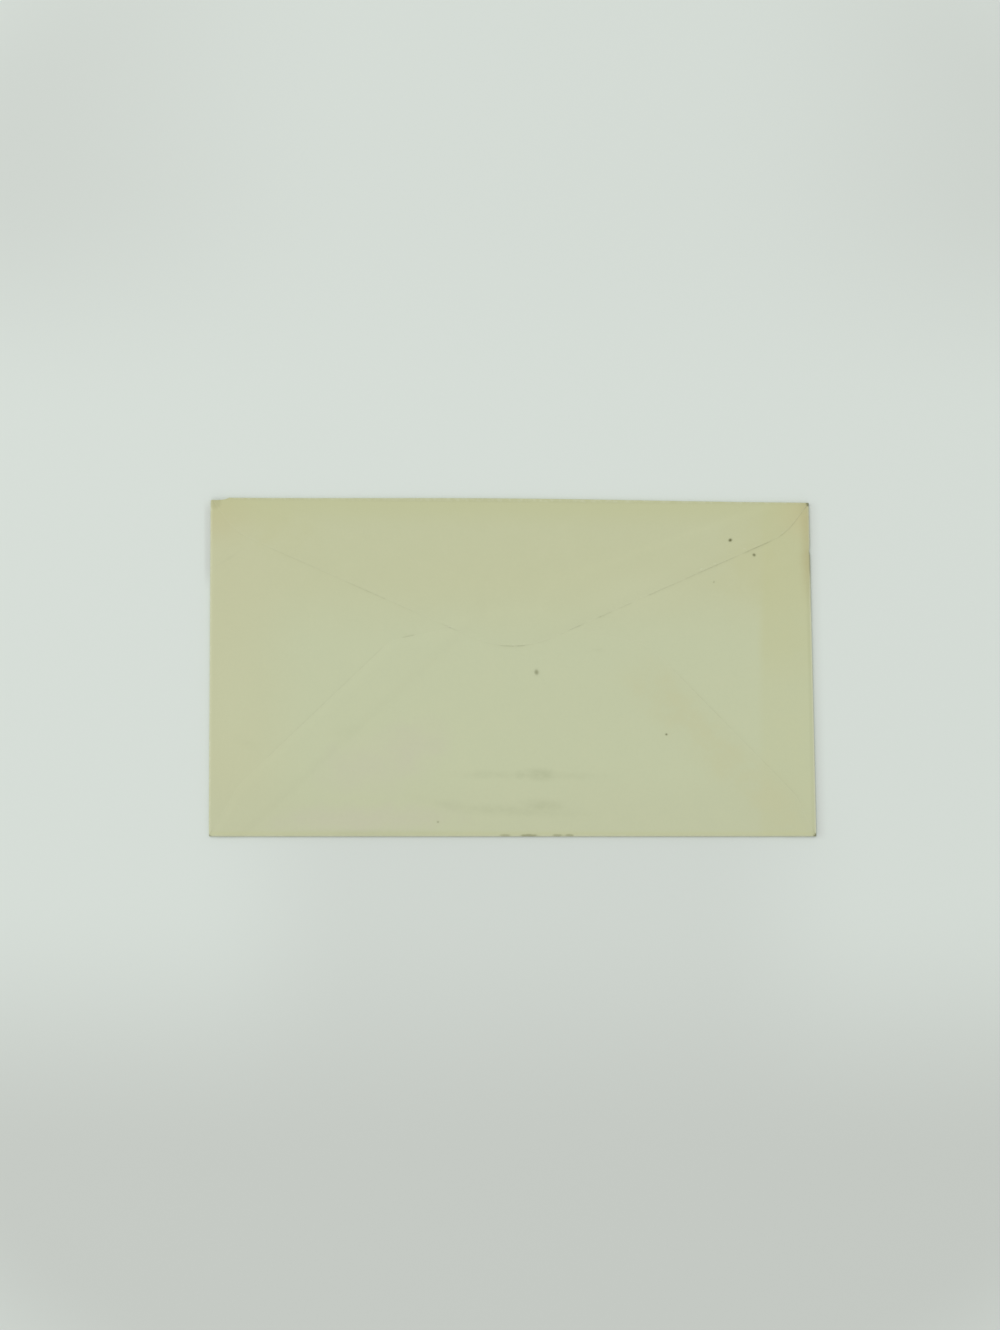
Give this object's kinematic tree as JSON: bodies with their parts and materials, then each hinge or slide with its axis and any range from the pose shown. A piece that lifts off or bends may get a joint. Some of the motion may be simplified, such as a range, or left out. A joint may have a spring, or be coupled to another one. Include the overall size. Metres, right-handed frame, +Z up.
{
  "type": "paper envelope",
  "caption": "Sealed paper envelope lying on its plain front, with a pointed seal flap over a diagonal-seam bottom flap and two side flaps.",
  "frame": {"origin": "on the resting surface, under the middle of the envelope's front", "axes": "+X along the long side, +Y towards the fold of the seal flap, +Z up, away from the resting surface"},
  "size_m": [0.165, 0.092, 0.0011],
  "materials": {
    "aged_paper": "uncoated, lightly toned with age"
  },
  "bodies": {
    "root": {"envelope": "aged_paper"}
  },
  "joints": []
}
